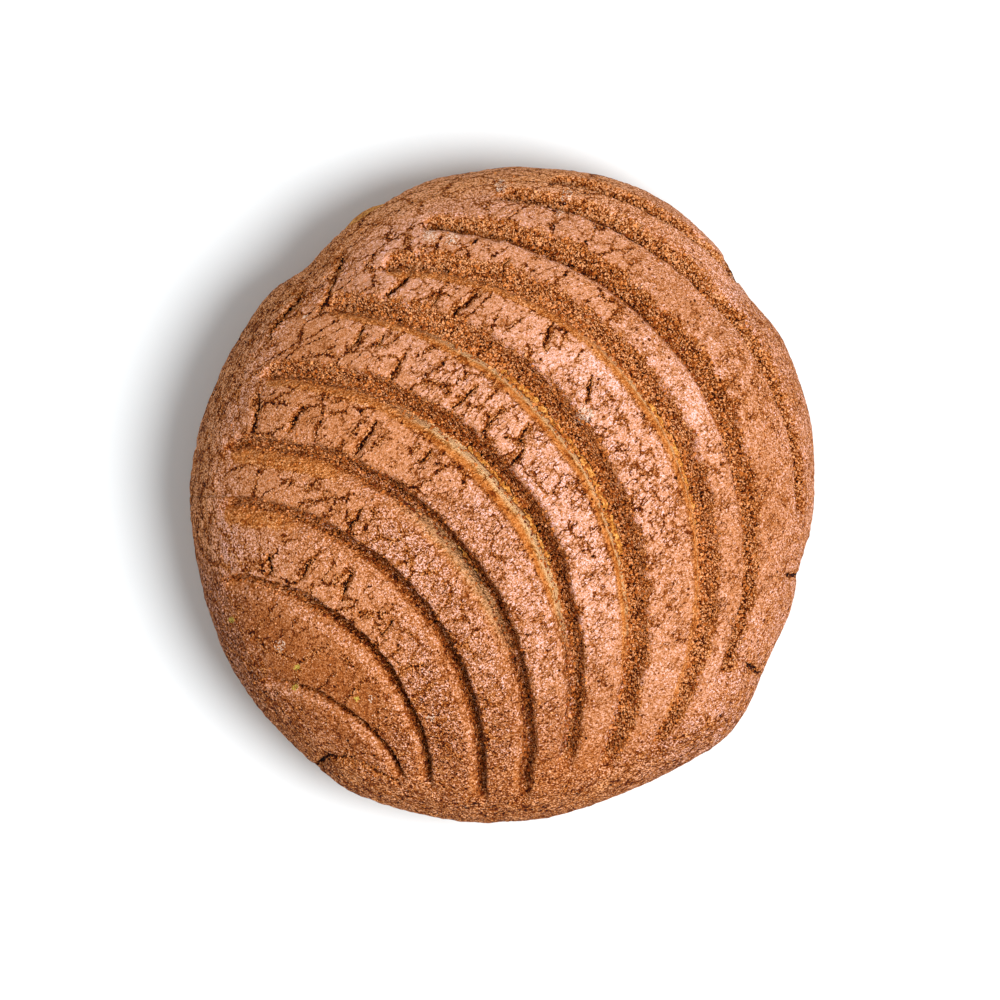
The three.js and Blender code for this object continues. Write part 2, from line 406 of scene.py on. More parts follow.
def bun_shape(form, mesh, proud=0.0):
    """The risen dough, from a ball that is moved onto its dome, its sides and its flat base."""
    ball = bmesh.new()
    around, rings = mesh
    bmesh.ops.create_uvsphere(ball, u_segments=around, v_segments=rings, radius=1)
    spots = coords_of(ball)
    angle = np.arctan2(spots[:, 1], spots[:, 0])
    turn = np.arccos(np.clip(spots[:, 2], -1, 1)) / np.pi
    domed = form.dough(angle, np.clip(turn / DOME_END, 0, 1) * form.edge(angle), proud)
    level = np.clip((SIDE_END - turn) / SIDE_SPAN, 0, 1)
    sided = form.side(angle, 1 - np.sin((1 - level) * np.pi / 2), proud)
    nought = np.zeros_like(angle)
    outward = np.clip((1 - turn) / BASE_SPAN, 0, 1)[:, None]
    based = blend(form.at(angle, nought, nought), form.side(angle, nought, proud), outward)
    lower = np.where((turn < SIDE_END)[:, None], sided, based)
    places = np.where((turn < DOME_END)[:, None], domed, lower)
    places[:, 2] -= proud * (turn >= SIDE_END)
    move_to(ball.verts, places)
    return ball


def groove_fields(form, plan, facing, paste):
    """What the blades have done at each vertex.

    That is how deep they cut, how near it is to a groove's line from the outer side and from the inner side
    (1 on the line, 0 at the groove's edge, less beyond), where dough shows through, how much painted shade
    darkens the crevice and edges there, and how crisp it is.
    """
    wander = 0.4 * noise_at(plan, 11, 1) + 0.2 * noise_at(plan, 3.6, 2) + 0.1 * noise_at(plan, 1.3, 3)
    chipped = 0.14 * noise_at(plan, 4.5, 4) + 0.18 * noise_at(plan, 1.5, 5)
    chipped = 1 + chipped * blend(0.7, 1.3, smooth(plan[:, 0], 4, 30))
    deep, golden, crevice_shade, crisp = np.zeros((4, len(plan)))
    outer, inner = np.full((2, len(plan)), -1.0)
    for blade in BLADES:
        start, stop = blade["turn"]
        off = plan[:, :2] - np.array(blade["centre"])
        far = np.linalg.norm(off, axis=1)
        away = off / far[:, None]
        tilt = np.sum(facing[:, :2] * away, axis=1) / np.maximum(facing[:, 2], 0.2)
        across = (far - blade["radius"] + wander) * np.minimum(np.sqrt(1 + tilt**2), 2.4)
        turned = start - np.degrees(np.arctan2(off[:, 1], off[:, 0]))
        along = turned / (start - stop)
        begun = np.radians(turned) * blade["radius"]
        tip = np.sqrt(1 - np.clip(1 - begun / BLUNT, 0, 1) ** 2)
        across = across + 0.8 * (1 - tip)
        narrowed = 1 - NARROWING["by"] * smooth(along, NARROWING["start"], NARROWING["stop"])
        opened = narrowed * blend(0.8, 1, smooth(along, 0.02, 0.25)) * chipped
        ends = smooth(begun + 0.5 * wander, -0.6, 1.0) * (1 - smooth(along, 0.97, 1.015))
        wall = blade["wall"] * opened * blend(0.12, 1, tip)
        shoulder = blade["shoulder"] * narrowed * blend(0.3, 1, tip)
        scooped = np.where(across >= 0, 1 - np.clip(across / wall, 0, 1) ** 3, 0)
        rolled = np.clip(1 + across / shoulder, 0, 1) * (across < 0)
        rolled = 0.65 * (1 - np.sqrt(1 - rolled**2)) + 0.35 * rolled**2
        floor = paste - FLOOR_LEFT
        if "open" in blade:
            first, last = blade["open"]
            opening = smooth(along, first - 0.06, first + 0.06)
            opening = opening * (1 - smooth(along, last - 0.06, last + 0.06))
            floor = blend(floor, paste + form.gap + BREAKTHROUGH, opening)
            shown = smooth(along, first - 0.14, first + 0.02) * (1 - smooth(along, last - 0.02, last + 0.14))
            golden = np.maximum(golden, blade["gold"] * shown * (np.abs(across) < 6))
        deep = np.maximum(deep, floor * ends * np.maximum(scooped, rolled))
        behind = blend(0.8, 0.3, blade.get("crisp", 0))
        from_outer = np.clip(np.where(across >= 0, 1 - across / wall, 1 + across / behind), -1, 1)
        from_inner = np.clip(np.where(across < 0, 1 + across / shoulder, 1 - across / 0.8), -1, 1)
        # Painted shade: the outer lip and the foot of the shoulder are darkened where the crevice's shade
        # falls
        lip = smooth(from_outer, -0.1, 0.2) * blend(1, 0.45, smooth(from_outer, 0.3, 1.0))
        foot = smooth(from_inner, 0.68, 1.0) * smooth(blade["crevice_shade"], 0.6, 0.9)
        begins = blend(0.2, 1, smooth(along, 0.1, 0.4))
        crevice_shade = np.maximum(crevice_shade, blade["crevice_shade"] * np.maximum(lip, foot) * ends * begins)
        edged = blade.get("crisp", 0) * ends
        cooled = 1 - smooth(along, 0.35, 0.7)
        # A painted shadow line along the foot of the crisp edges near the grooves' starts
        crevice_shade = np.maximum(crevice_shade, 1.6 * edged * smooth(from_outer, 0.4, 0.85) * cooled)
        crisp = np.maximum(crisp, edged * (np.abs(across) < 4))
        outer = np.maximum(outer, (from_outer + 1) * ends - 1)
        inner = np.maximum(inner, (from_inner + 1) * ends - 1)
    return deep, outer, inner, golden, crevice_shade, crisp


def large_cracks(plan):
    """How far to one side of the nearest large crack each vertex is, half its width there, and its depth."""
    jagged = 0.6 * noise_at(plan, 2.4, 11) + 0.4 * noise_at(plan, 1.0, 12)
    uneven = 0.8 + 0.5 * noise_at(plan, 1.6, 13)
    nearest = np.full(len(plan), 9.0)
    off, half, deep = np.zeros((3, len(plan)))
    for start, stop, wide, depth in CRACKS:
        lead = np.subtract(stop, start)
        length = np.hypot(*lead)
        lead = lead / length
        away = plan[:, :2] - np.array(start)
        along = (away @ lead) / length
        across = away @ np.array((-lead[1], lead[0])) + jagged
        taper = smooth(along, -0.1, 0.3) * (1 - smooth(along, 0.7, 1.1))
        closer = (np.abs(across) < nearest) & (taper > 0)
        nearest = np.where(closer, np.abs(across), nearest)
        off = np.where(closer, across, off)
        half = np.where(closer, 0.5 * wide * taper * uneven * (1 - smooth(np.abs(across), 1.2, 2.2)), half)
        deep = np.maximum(deep, 0.6 * depth * taper * (1 - smooth(np.abs(across), 0.0, 0.35 + 0.6 * wide)))
    return off, half, deep


def shell_coords(plan):
    """Distances along the shell's ribs and across them."""
    beside = np.clip((plan[:, 1] - plan[:, 0]) / math.sqrt(2), -RIB_REACH, RIB_REACH)
    ahead = (plan[:, 0] + plan[:, 1]) / math.sqrt(2)
    along = RIB_RADIUS * np.arcsin(beside / RIB_RADIUS)
    across = ahead - np.sqrt(RIB_RADIUS**2 - beside**2)
    return np.stack([along, across, np.zeros(len(plan))], axis=1)


def paste_relief(form, sizes, plan, angle, polar, facing):
    """How far each vertex of the paste stands above the smooth crust, and what its material has to know."""
    x, y = plan[:, 0], plan[:, 1]
    paste = blend(form.rim_paste, form.crown_paste, np.cos(polar) ** 2)
    cut, outer, inner, golden, crevice_shade, crisp = groove_fields(form, plan, facing, paste)
    shell = shell_coords(plan)
    rim = smooth(np.degrees(polar), 54, 74)
    left = smooth(-x - 0.4 * y, -8, 26)
    low = smooth(-y, 22, 50)
    top = smooth(y - 0.3 * np.abs(x), 20, 36)
    band = np.stack([angle * BAND_RADIUS, polar * BAND_HEIGHT, np.zeros_like(x)], axis=1)
    plated = rounds_at(x, y, PLATED) * (1 - 0.7 * rim)
    fissured = rounds_at(x, y, FISSURED)
    sandy = rounds_at(x, y, SANDY)
    on_top = (1 - smooth(outer, -0.15, 0.15)) * (1 - smooth(inner, 0.1, 0.4))
    gash_off, gash_half, gash_depth = large_cracks(plan)
    cracks = gash_depth * blend(0.3, 1, on_top) * sizes.crack_depth
    loose = noise_at(plan, 6, 26) + 0.7 * noise_at(plan, 1.8, 27)
    sand = sandy * smooth(loose + 1.2 * inner, -0.2, 0.6)
    bare = np.maximum(smooth(outer, -0.05, 0.15), smooth(inner, 0.2, 0.5))
    lumps = 0.35 * noise_at(plan, 17, 28) + 0.2 * noise_at(plan, 7, 29)
    grains = noise_at(plan, 1.2, 30) + 0.9 * noise_at(plan, 0.8, 34)
    crust = noise_at(band / np.array((2.6, 1.2, 1.0)), 1.0, 25) * rim * blend(0.3, 1, left)
    stand = lumps - 0.42 + 0.22 * crust
    relief = stand * (1 - cut / (paste + form.gap + BREAKTHROUGH)) - cut - cracks
    grainy = blend(0.3, 1, np.maximum(bare, 0.7 * sand))
    relief += grains * sizes.grain / MM * grainy * (1 - 0.6 * golden * bare)
    # How much darker the skin is made: partly a browner bake, partly painted shade on the left and low
    # sides, and painted shade dimming the right side where the key light falls
    right = (
        0.2 * smooth(x, 14, 40)
        + 0.4 * smooth(x, 14, 30) * smooth(y, 14, 28)
        + 0.5 * smooth(x - 0.6 * y, 24, 40)
        + 0.6 * smooth(x, 36, 48)
    )
    back = 0.7 * smooth(y, 22, 34) * smooth(x, -24, -6) * (1 - rim)
    front = 2.0 * smooth(-x - 1.6 * y, 64, 82) * (1 - low)
    browning_and_shade = 0.8 * left + 1.3 * low + right + back + front + (0.6 * top - 0.35) * rim + 0.1 * plated
    worn_rim = rim * blend(0.6, 0.9, smooth(x, 0, 30)) * (1 - 0.7 * top)
    coarse_rim = rim * blend(1, 0.35, smooth(x, 14, 36) * (1 - low)) * (1 - 0.4 * top)
    ruddy_rim = rim * blend(0.95, 0.3, np.maximum(smooth(x, 16, 40), 0.4 * front))
    upper = np.maximum(smooth(x + y, -28, -2), smooth(y - x, 12, 40))
    fields = {
        "outer": outer,
        "inner": inner,
        "golden": golden,
        "crevice_shade": crevice_shade,
        "peel": np.maximum(0.6, upper) - 0.75 * crisp,
        "sugared": rounds_at(x, y, SUGARED),
        "flecked": rounds_at(x, y, FLECKED),
        "gash_off": gash_off,
        "gash_half": gash_half * blend(0.4, 1, on_top),
        "plated": plated * on_top,
        "fissure": np.clip(fissured + 0.15 * plated, 0, 1) * (1 - 0.6 * rim),
        "sand": sand,
        "worn": np.maximum(rounds_at(x, y, WORN), worn_rim),
        "rim": np.maximum(coarse_rim, 0.8 * left * (1 - plated)),
        "browning_and_shade": np.clip(browning_and_shade, -0.6, 2.2),
        "ruddy": np.maximum.reduce([0.12 * plated, 0.45 * left, 0.8 * smooth(-y, 36, 52), ruddy_rim]),
        "shell": shell,
        "band": band,
    }
    return relief, fields


def disc_of(square):
    """Moves an even square onto an even disc: each vertex's angle and its share of the radius."""
    x, y = square[:, 0], square[:, 1]
    wide = np.abs(x) > np.abs(y)
    reach = np.where(wide, x, y)
    turn = (np.pi / 4) * np.where(wide, y, x) / np.where(reach == 0, 1, reach)
    angle = np.where(wide, turn, np.pi / 2 - turn) + np.where(reach < 0, np.pi, 0)
    return np.arctan2(np.sin(angle), np.cos(angle)), np.abs(reach)


def turned_ways(draw, count):
    """Random turns, as matrices."""
    w, x, y, z = draw.normal(size=(count, 4)).T
    length = np.sqrt(w * w + x * x + y * y + z * z)
    w, x, y, z = w / length, x / length, y / length, z / length
    rows = (
        (1 - 2 * (y * y + z * z), 2 * (x * y - w * z), 2 * (x * z + w * y)),
        (2 * (x * y + w * z), 1 - 2 * (x * x + z * z), 2 * (y * z - w * x)),
        (2 * (x * z - w * y), 2 * (y * z + w * x), 1 - 2 * (x * x + y * y)),
    )
    return np.moveaxis(np.array(rows), 2, 0)


def scattered(form, sizes, draw):
    """Places for loose crumbs on the grooves' walls, along the cracks and on the sandy parts of the skin.

    Each crumb's radius and how much painted shade darkens it come with them.
    """
    angle = draw.uniform(-np.pi, np.pi, CRUMB_TRIES * sizes.crumbs)
    polar = np.arcsin(0.985 * np.sqrt(draw.uniform(0, 1, len(angle))))
    plan = form.crust(angle, polar)
    facing = form.facing(angle, polar)
    relief, fields = paste_relief(form, sizes, plan, angle, polar, facing)
    walls = smooth(fields["outer"], -0.12, 0.1)
    shoulders = smooth(fields["inner"] + 0.7 * fields["peel"], 0.85, 1.1) * (1 - 0.85 * fields["golden"])
    borders = smooth(fields["gash_half"], 0.02, 0.15) * (1 - smooth(np.abs(fields["gash_off"]), 0.3, 0.9))
    stray = np.full_like(walls, STRAY_CRUMBS)
    chance = np.maximum.reduce([walls, 0.45 * shoulders, 0.9 * borders, 0.3 * fields["sand"], stray])
    kept = np.flatnonzero(draw.uniform(0, 1, len(chance)) < chance)[: sizes.crumbs]
    radius = sizes.crumb_size / MM * np.exp(np.clip(draw.normal(0, CRUMB_SPREAD, len(kept)), -0.6, 0.45))
    radius *= blend(0.65, 1, smooth(walls[kept], 0.2, 0.7))
    return plan[kept] + facing[kept] * (relief[kept] + 0.2 * radius)[:, None], radius, fields["crevice_shade"][kept]


def grow_edge(made):
    """Extrudes the open edge of a sheet, and gives the new edge's vertices."""
    edges = [edge for edge in made.edges if edge.is_boundary]
    grown = bmesh.ops.extrude_edge_only(made, edges=edges)["geom"]
    return [part for part in grown if isinstance(part, bmesh.types.BMVert)]


def close_paste(form, made):
    """Rolls the paste's edge under in a rounded lip, and closes it through the middle of the dough."""
    for share, level in (*LIP_PROFILE, TUCKED_EDGE):
        verts = grow_edge(made)
        spots = np.array([vert.co for vert in verts])
        angle = np.arctan2(spots[:, 1] - CENTRE[1], spots[:, 0] - CENTRE[0])
        polar = share * form.edge(angle)
        places = blend(form.lining(angle, polar), form.crust(angle, polar), level)
        if level > 0:
            places += form.facing(angle, polar) * 0.25 * noise_at(places, 1.2, 41)[:, None]
        move_to(verts, places)
    bmesh.ops.pointmerge(made, verts=grow_edge(made), merge_co=(CENTRE[0], CENTRE[1], 0.7 * form.belly))


def carve(piece, form):
    """Takes the dough's form out of the paste, so that the paste is a real shell."""
    tool = piece_of(bun_shape(form, FORM_MESH, FORM_PROUD), "dough_form", piece.data.materials[0])
    modifier = piece.modifiers.new("dough", "BOOLEAN")
    modifier.operation = "DIFFERENCE"
    modifier.solver = "MANIFOLD"
    modifier.object = tool
    graph = bpy.context.evaluated_depsgraph_get()
    carved = bpy.data.meshes.new_from_object(piece.evaluated_get(graph))
    piece.modifiers.clear()
    old = piece.data
    piece.data = carved
    bpy.data.meshes.remove(old)
    carved.name = piece.name
    form_data = tool.data
    bpy.data.objects.remove(tool)
    bpy.data.meshes.remove(form_data)


class Finish:
    """A material in the making: its shader, the place on the piece in millimetres and the nodes between."""

    def __init__(self, name):
        self.material = bpy.data.materials.new(name)
        self.material.use_nodes = True
        self.tree = self.material.node_tree
        self.tree.nodes.clear()
        self.shader = self.node("ShaderNodeBsdfPrincipled")
        output = self.node("ShaderNodeOutputMaterial")
        self.tree.links.new(self.shader.outputs["BSDF"], output.inputs["Surface"])
        where = self.node("ShaderNodeTexCoord").outputs["Object"]
        scaled = self.node("ShaderNodeVectorMath", {0: where, "Scale": 1 / MM}, operation="SCALE")
        self.place = scaled.outputs[0]

    def node(self, kind, inputs=None, **settings):
        """A shader node with its settings, whose inputs are values or other nodes' outputs."""
        made = self.tree.nodes.new(kind)
        for name, value in settings.items():
            setattr(made, name, value)
        for name, value in (inputs or {}).items():
            socket = made.inputs[name]
            if isinstance(value, bpy.types.NodeSocket):
                self.tree.links.new(value, socket)
            else:
                socket.default_value = value
        return made

    def math(self, operation, *values):
        return self.node("ShaderNodeMath", dict(enumerate(values)), operation=operation).outputs[0]

    def less(self, value, by):
        return self.math("SUBTRACT", value, by)

    def both(self, first, second):
        """The product of two shares."""
        return self.math("MULTIPLY", first, second)

    def most(self, found, *values):
        """The largest of several values."""
        for value in values:
            found = self.math("MAXIMUM", found, value)
        return found

    def plus(self, total, *parts):
        """A value and some others, each of them times its own weight."""
        for value, weight in parts:
            total = self.math("MULTIPLY_ADD", value, weight, total)
        return total

    def about(self, middle, *noises):
        """A value, raised and lowered by noises that swing about a half, each times its own weight."""
        return self.plus(middle, *((self.less(value, 0.5), weight) for value, weight in noises))

    def between(self, share, first, second):
        return self.plus(first, (self.less(second, first), share))

    def ramp(self, value, low, high, to_low=0.0, to_high=1.0):
        """A smooth step from one value to another, as the first value goes from low to high."""
        inputs = {"Value": value, "From Min": low, "From Max": high, "To Min": to_low, "To Max": to_high}
        made = self.node("ShaderNodeMapRange", inputs, interpolation_type="SMOOTHSTEP", clamp=True)
        return made.outputs["Result"]

    def fade(self, value, low, high):
        return self.ramp(value, low, high, 1.0, 0.0)

    def mix(self, share, first, second):
        made = self.node("ShaderNodeMix", {0: share, 6: first, 7: second}, data_type="RGBA")
        return made.outputs[2]

    def field(self, name, kind="Fac"):
        """A value that the piece holds for each vertex."""
        return self.node("ShaderNodeAttribute", attribute_name=name).outputs[kind]

    def vectors(self, operation, *values):
        return self.node("ShaderNodeVectorMath", dict(enumerate(values)), operation=operation).outputs[0]

    def noise(self, size, detail=2.0, rough=0.55, place=None, kind="Fac"):
        """Noise with features of a size in millimetres."""
        place = self.place if place is None else place
        inputs = {"Vector": place, "Scale": 1.0 / size, "Detail": detail, "Roughness": rough}
        return self.node("ShaderNodeTexNoise", inputs).outputs[kind]

    def grit(self, scale):
        """Uneven grains: how far a place is from the middle of its grain, and two random tones for it."""
        grains = self.node("ShaderNodeTexVoronoi", {"Vector": self.place, "Scale": scale})
        tones = self.node("ShaderNodeSeparateColor", {"Color": grains.outputs["Color"]})
        return grains.outputs["Distance"], tones.outputs[0], tones.outputs[1]

    def cells(self, vector, drift, by, size):
        """How far a place is from the edge of its cell, in about millimetres.

        The cells are uneven, with a mean size, and waver with a drift.
        """
        drifted = self.vectors("MULTIPLY_ADD", drift, (by, by, 0), vector)
        inputs = {"Vector": self.vectors("MULTIPLY", drifted, (1 / size[0], 1 / size[1], 0)), "Scale": 1.0}
        settings = {"feature": "DISTANCE_TO_EDGE", "voronoi_dimensions": "2D"}
        found = self.node("ShaderNodeTexVoronoi", inputs, **settings)
        return self.both(found.outputs["Distance"], min(size))

    def toasted(self, tone, pale):
        """The colour of a baked surface: nearly black at 0, palest at 1, and richer the darker it is."""
        made = self.node("ShaderNodeValToRGB", {"Fac": tone})
        stops = made.color_ramp.elements
        for place in np.linspace(0, 1, TOAST_STOPS)[1:-1]:
            stops.new(place)
        for stop in stops:
            light = stop.position**DARKENING
            stop.color = (*(part * light**power for part, power in zip(pale, TOASTING)), 1)
        return made.outputs["Color"]

    def coat(self, colour, rough, gloss):
        """Sets the shader's colour, roughness and gloss, and gives the material."""
        self.tree.links.new(colour, self.shader.inputs["Base Color"])
        if isinstance(rough, bpy.types.NodeSocket):
            self.tree.links.new(rough, self.shader.inputs["Roughness"])
        else:
            self.shader.inputs["Roughness"].default_value = rough
        self.shader.inputs["Specular IOR Level"].default_value = gloss
        return self.material

    def emboss(self, height, strength, depth):
        """Bumps the surface, by a depth in millimetres."""
        inputs = {"Height": height, "Strength": strength, "Distance": depth * MM}
        relief = self.node("ShaderNodeBump", inputs)
        self.tree.links.new(relief.outputs["Normal"], self.shader.inputs["Normal"])


def rgba(colour, by=1.0):
    return (colour[0] * by, colour[1] * by, colour[2] * by, 1.0)


def paste_material(colours):
    """Baked chocolate paste: a sandy sugar skin over a darker crumb, with cracks, pits and sugar grains."""
    paste = Finish("baked_chocolate_paste")
    cloud = paste.noise(9.0)
    patch = paste.noise(2.6, 3.0, 0.6)
    sand = paste.noise(0.9, 2.0, 0.95)
    fine = paste.noise(0.21, 0.0)
    grains = paste.noise(0.47, 1.0)
    dust = paste.grit(4.2)[1]
    grit, grit_tone, grit_pick = paste.grit(2.5)
    pit, pit_pick = paste.grit(0.9)[:2]
    drift = paste.noise(1 / 0.7, 2.0, 0.7, kind="Color")
    ragged = paste.about(0.0, (patch, 1.4), (sand, 1.4))
    shell = paste.field("shell", "Vector")
    band = paste.field("band", "Vector")
    inner = paste.field("inner")
    outer = paste.field("outer")
    fissure = paste.field("fissure")
    golden = paste.field("golden")
    peel = paste.field("peel")
    rim = paste.field("rim")
    plated = paste.ramp(paste.field("plated"), 0.1, 0.5)
    rolled = paste.ramp(inner, 0.0, 0.3)

    # Cracks: between the plates, between their pieces, between the rim's scales and tiles, and in fine rows
    broken = paste.ramp(patch, 0.38, 0.52)
    whole = paste.ramp(cloud, 0.44, 0.58, 1.0, 0.25)
    plates = paste.cells(shell, drift, 3.0, (5.5, 9.0))
    plate_share = paste.both(plated, broken)
    pieces = paste.cells(shell, drift, 2.2, (2.3, 4.0))
    piece_share = paste.most(paste.both(plated, 0.6), fissure)
    piece_share = paste.both(piece_share, paste.both(broken, whole))
    scales = paste.cells(band, drift, 3.0, (3.6, 1.5))
    scale_share = paste.both(paste.ramp(rim, 0.6, 1.0), paste.ramp(patch, 0.42, 0.58))
    tiles = paste.cells(band, drift, 3.0, (9.0, 4.6))
    tile_share = paste.both(paste.ramp(rim, 0.15, 0.6), paste.ramp(patch, 0.34, 0.46))
    lines = []
    for distance, share, thin in (
        (plates, plate_share, 0.28),
        (pieces, piece_share, 0.2),
        (scales, scale_share, 0.22),
        (tiles, paste.both(tile_share, 0.6), 0.28),
    ):
        near = paste.fade(paste.about(distance, (sand, 0.3)), 0.25 * thin, thin)
        lines.append(paste.both(near, share))
    drifted = paste.vectors("MULTIPLY_ADD", drift, (1.0, 1.0, 0), shell)
    ripple = paste.noise(1.0, 2.0, 0.7, paste.vectors("MULTIPLY", drifted, (1.5, 0.5, 1)))
    row_share = paste.ramp(paste.about(fissure, (patch, 1.2)), 0.1, 0.6)
    lines.append(paste.both(paste.ramp(ripple, 0.33, 0.38, 0.5, 0.0), row_share))
    rows = paste.cells(shell, drift, 1.6, (0.8, 2.4))
    rows = paste.fade(paste.about(rows, (sand, 0.12)), 0.03, 0.09)
    lines.append(paste.both(rows, paste.both(row_share, paste.ramp(patch, 0.42, 0.58, 0.0, 0.7))))
    lines = paste.both(paste.most(*lines), paste.ramp(outer, -0.05, 0.1, 1.0, 0.2))

    # The large cracks: their cores darkened with painted shade, and the crumb laid bare beside them
    half = paste.field("gash_half")
    opened = paste.ramp(half, 0.03, 0.12)
    aside = paste.math("ABSOLUTE", paste.about(paste.field("gash_off"), (sand, 0.9), (patch, 0.5)), 0.0)
    core = paste.ramp(paste.less(paste.both(half, 0.75), aside), -0.06, 0.1)
    core = paste.both(core, opened)
    beside = paste.less(paste.plus(half, (ragged, 0.5)), aside)
    beside = paste.both(paste.ramp(beside, -0.45, -0.2), opened)

    # Where the skin is gone: frayed cracks, torn groove walls, peeled shoulders, loose sand and worn spots
    frayed = paste.fade(paste.plus(plates, (ragged, -0.45)), 0.25, 0.45)
    frayed = paste.both(frayed, plate_share)
    tiled = paste.fade(paste.plus(tiles, (ragged, -0.45)), 0.25, 0.45)
    tiled = paste.both(tiled, tile_share)
    torn = paste.ramp(paste.plus(outer, (ragged, 0.6)), -0.05, 0.05)
    peeling = paste.plus(inner, (peel, 0.7), (ragged, 0.4))
    # A thin band along the edge of the peeled skin; on the golden grooves it gets a painted shadow of that
    # edge
    lip = paste.both(paste.ramp(peeling, 0.62, 0.74), paste.fade(peeling, 0.76, 0.86))
    peeled = paste.ramp(peeling, 0.74, 0.88)
    loose = paste.ramp(paste.math("ADD", paste.field("sand"), ragged), 0.5, 0.8, 0.0, 0.8)
    spots = paste.plus(paste.both(ragged, 0.8), (paste.field("worn"), 0.35))
    spots = paste.ramp(spots, 0.28, 0.4, 0.0, 0.85)
    bare = paste.most(torn, peeled, loose, spots, frayed, tiled, beside, paste.both(lines, 0.8))

    # The tone of the skin
    swing = paste.about(0.0, (sand, 0.2), (fine, 0.3), (patch, 0.1), (dust, 0.26))
    swing = paste.plus(swing, (paste.fade(grains, 0.3, 0.42), -0.18))
    even = paste.plus(1.0, (plated, -0.35))
    coarse = paste.both(paste.about(0.0, (fine, 0.5), (grains, 0.5), (dust, 0.4)), rim)
    skin = paste.plus(paste.about(coarse, (cloud, 0.1)), (swing, even))
    skin = paste.plus(skin, (paste.both(paste.ramp(dust, 0.78, 0.9), row_share), -0.2))
    skin = paste.math("ADD", skin, SKIN_TONE)
    # The grains' tops made paler: partly pale sugar, partly painted glints
    skin = paste.plus(skin, (paste.ramp(grains, 0.6, 0.72), 0.1))
    # Darker where the bake is browner and where painted shade is laid on the left, low and right sides
    skin = paste.plus(skin, (paste.about(paste.field("browning_and_shade"), (cloud, 0.6)), -0.11))
    skin = paste.plus(skin, (paste.both(paste.ramp(ripple, 0.5, 0.7), row_share), 0.04))

    # The tone of the crumb, which is rougher on the walls and more even on the rolled and golden shoulders
    # Each grain of the crumb is darker away from its middle: painted shade in the gaps between grains
    crumb = paste.about(0.0, (sand, 0.7), (fine, 0.6), (grit_tone, 0.28), (grit, -0.6), (dust, 0.35))
    rough = paste.plus(1.0, (rolled, -0.4), (paste.ramp(outer, 0.0, 0.3), 0.5))
    rough = paste.plus(rough, (paste.both(golden, rolled), -0.3))
    # Painted shade in the grooves' crevices and along their edges darkens the crumb
    crumb = paste.plus(PASTE_TONE, (crumb, rough), (rolled, 0.03), (paste.field("crevice_shade"), -0.28))

    # All of it, with painted shade darkening the pits and the cracks' lines and cores, and a painted shadow
    # under the skin's torn edge
    pitted = paste.fade(paste.about(pit, (sand, 0.6)), 0.14, 0.26)
    chosen = paste.plus(pit_pick, (paste.ramp(outer, 0.2, 0.8), 0.4))
    pitted = paste.both(pitted, paste.ramp(chosen, 0.82, 0.88))
    baked = paste.between(bare, skin, crumb)
    baked = paste.plus(baked, (lines, -0.32), (spots, -0.08), (pitted, -0.35))
    baked = paste.plus(baked, (paste.both(lip, golden), -0.18), (core, -0.5))

    # Colours: rosy skin, orange crumb, golden dough in the grooves, sugar and flecks
    rosy = paste.both(rolled, paste.fade(inner, 0.65, 0.95))
    rosy = paste.both(rosy, paste.fade(peel, 0.6, 0.9))
    orange = paste.both(bare, paste.plus(1.0, (rosy, -0.6)))
    orange = paste.most(orange, paste.about(paste.field("ruddy"), (cloud, 0.3)))
    colour = paste.mix(orange, paste.toasted(baked, colours.skin), paste.toasted(baked, colours.crumb))
    gilt = paste.ramp(paste.plus(inner, (ragged, 0.2)), 0.35, 0.8)
    gilt = paste.both(paste.both(gilt, golden), 0.85)
    # The dough's streak, raised towards the groove's line: partly the paler dough, partly a painted
    # highlight against the crevice's shade
    shine = paste.plus(baked, (paste.ramp(inner, 0.4, 0.9), 0.5))
    colour = paste.mix(gilt, colour, paste.toasted(shine, colours.streak))
    for name, tint, least, share in (
        ("sugared", colours.sugar, 0.82, 0.55),
        ("flecked", colours.fleck, 0.5, 0.95),
    ):
        much = paste.field(name)
        strewn = paste.ramp(paste.about(much, (sand, 1.4), (dust, 1.3)), least, least + 0.18)
        strewn = paste.both(strewn, paste.ramp(much, 0.05, 0.5, 0.0, share))
        colour = paste.mix(strewn, colour, rgba(tint))
    speck = paste.both(paste.fade(grit, 0.2, 0.36), paste.ramp(grit_pick, 0.985, 0.99))
    colour = paste.mix(paste.both(speck, 0.6), colour, rgba(colours.sugar))
    paste.emboss(baked, 1.0, 0.55)
    return paste.coat(colour, paste.ramp(bare, 0.0, 1.0, 0.82, 0.95), 0.1)


def crumb_material(colours):
    """Loose crumbs of the paste, each at its own tone, darker where painted shade falls in the crevices."""
    crumb = Finish("loose_crumbs")
    fine = crumb.noise(0.3, 1.0)
    baked = crumb.about(crumb.field("tone"), (fine, 0.5))
    crumb.emboss(fine, 0.8, 0.2)
    return crumb.coat(crumb.toasted(baked, colours.crumb), crumb.ramp(fine, 0.3, 0.7, 0.8, 0.95), 0.15)


def bread_material(colours):
    """Golden crust of sweet dough: browner in patches and near the base, with fine wrinkles and pores."""
    bread = Finish("golden_bread")
    cloud = bread.noise(8.0, 3.0)
    patch = bread.noise(1.6, 3.0, 0.7)
    fine = bread.noise(0.4, 2.0, 0.8)
    wrinkle = bread.noise(1.2, 3.0, place=bread.vectors("MULTIPLY", bread.place, (0.9, 0.9, 2.6)))
    height = bread.node("ShaderNodeSeparateXYZ", {"Vector": bread.place}).outputs["Z"]
    baked = bread.about(0.78, (cloud, 0.25), (patch, 0.7), (fine, 0.9), (wrinkle, 0.3))
    baked = bread.plus(baked, (bread.fade(height, 0.5, 6.0), -0.14))
    bread.emboss(bread.about(wrinkle, (fine, 0.6), (patch, 0.4)), 0.9, 0.5)
    return bread.coat(bread.toasted(baked, colours.bread), bread.ramp(patch, 0.3, 0.7, 0.65, 0.8), 0.12)


